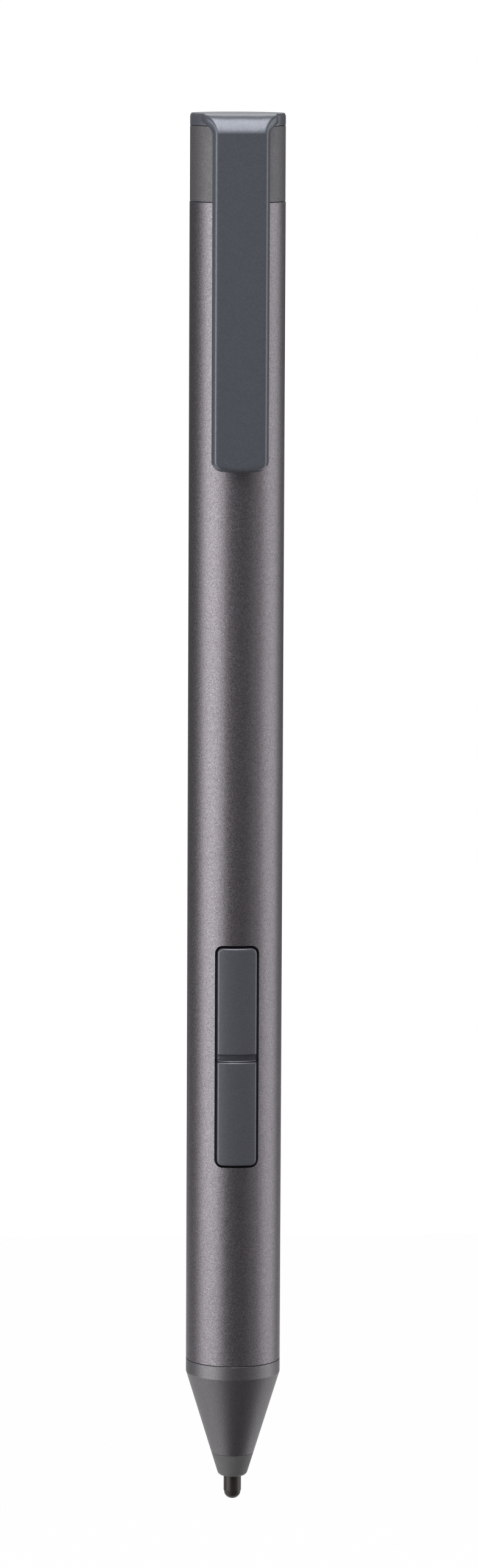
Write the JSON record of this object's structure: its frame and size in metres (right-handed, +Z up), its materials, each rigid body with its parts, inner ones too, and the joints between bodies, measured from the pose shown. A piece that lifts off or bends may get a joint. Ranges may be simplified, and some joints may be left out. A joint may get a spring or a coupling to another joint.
{
  "type": "active stylus pen",
  "caption": "Active stylus for touch screens: aluminium barrel, two side keys in one slot, tapered nose with a sprung nib, and a screw-on tail cap with a flat pocket clip.",
  "frame": {"origin": "the end of the nib, on the pen's axis", "axes": "+Z runs up the pen from the nib to the tail cap; -Y is the front, where the side keys and the clip are"},
  "size_m": [0.0094, 0.0111, 0.14],
  "materials": {
    "barrel_metal": "anodised grey, fine sparkle",
    "nose_metal": "anodised grey, finer sparkle",
    "collar_plastic": "matte grey",
    "gilt_brass": "gold flash",
    "frame_plastic": "moulded, matte",
    "board_laminate": "solder mask",
    "chip_black": "moulded epoxy",
    "part_ceramic": "fired, with tinned ends",
    "switch_black": "moulded",
    "nickel_plate": "nickel plated",
    "natural_plastic": "natural acetal",
    "sensor_face": "metallised",
    "pad_rubber": "silicone",
    "flex_film": "polyimide film",
    "spring_steel": "drawn wire",
    "nib_plastic": "polished dark plastic",
    "key_plastic": "painted satin grey",
    "stem_plastic": "moulded",
    "jacket_film": "plain shrink film",
    "cell_paste": "pressed powder",
    "seal_plastic": "moulded",
    "cap_plastic": "painted grey with a slight sparkle",
    "clip_metal": "satin blue-grey"
  },
  "bodies": {
    "barrel": {"barrel": "barrel_metal", "nose_cone": "nose_metal", "tip_collar": "collar_plastic", "tip_electrode": "gilt_brass", "inner_frame": "frame_plastic", "circuit_board": "board_laminate", "control_chips": "chip_black", "board_parts": "part_ceramic", "upper_switch": "switch_black", "lower_switch": "switch_black", "earth_leaf": "gilt_brass", "battery_contact": "nickel_plate", "sensor_housing": "natural_plastic", "force_sensor": "sensor_face", "sensor_pad": "pad_rubber", "sensor_flex": "flex_film"},
    "nib_holder": {"nib_holder": "natural_plastic", "nib_spring": "spring_steel"},
    "nib": {"nib": "nib_plastic"},
    "upper_button": {"upper_button": "key_plastic", "upper_stem": "stem_plastic"},
    "lower_button": {"lower_button": "key_plastic", "lower_stem": "stem_plastic"},
    "battery": {"battery_jacket": "jacket_film", "battery_can": "nickel_plate", "battery_core": "cell_paste", "battery_nub": "nickel_plate", "battery_seal": "seal_plastic"},
    "battery_spring": {"battery_spring": "spring_steel"},
    "cap_contact": {"cap_contact": "nickel_plate"},
    "cap": {"cap_sleeve": "cap_plastic", "cap_plate": "clip_metal", "clip_screw": "spring_steel"},
    "clip_arm": {"clip_arm": "clip_metal"}
  },
  "joints": [
    {"name": "nib_press", "type": "slide", "parent": "barrel", "child": "nib_holder", "axis": [0, 0, 1], "range_m": [0, 0.0003], "stiffness_N_per_m": 300, "deforming": ["nib_spring"]},
    {"name": "nib_pull", "type": "slide", "parent": "nib_holder", "child": "nib", "axis": [0, 0, -1], "range_m": [0, 0.015]},
    {"name": "upper_press", "type": "slide", "parent": "barrel", "child": "upper_button", "axis": [0, 1, 0], "range_m": [0, 0.00025], "stiffness_N_per_m": 300},
    {"name": "lower_press", "type": "slide", "parent": "barrel", "child": "lower_button", "axis": [0, 1, 0], "range_m": [0, 0.00025], "stiffness_N_per_m": 300},
    {"name": "battery_slide", "type": "slide", "parent": "barrel", "child": "battery", "axis": [0, 0, 1], "range_m": [0, 0.052]},
    {"name": "cap_pull", "type": "slide", "parent": "battery", "child": "battery_spring", "axis": [0, 0, 1], "range_m": [0, 0.02]},
    {"name": "cap_rise", "type": "slide", "parent": "battery_spring", "child": "cap_contact", "axis": [0, 0, 1], "range_m": [0, 0.003], "deforming": ["battery_spring"]},
    {"name": "cap_turn", "type": "hinge", "parent": "cap_contact", "child": "cap", "pos_m": [0, 0, 0.131], "axis": [0, 0, 1], "range_deg": [0, 1080]},
    {"name": "clip_flex", "type": "hinge", "parent": "cap", "child": "clip_arm", "pos_m": [0, -0.00642, 0.1376], "axis": [-1, 0, 0], "range_deg": [0, 5], "stiffness_Nm_per_rad": 0.5}
  ],
  "couplings": [
    {"joint": "cap_turn", "follows": "cap_rise", "rad_per_m": 6283.2}
  ]
}
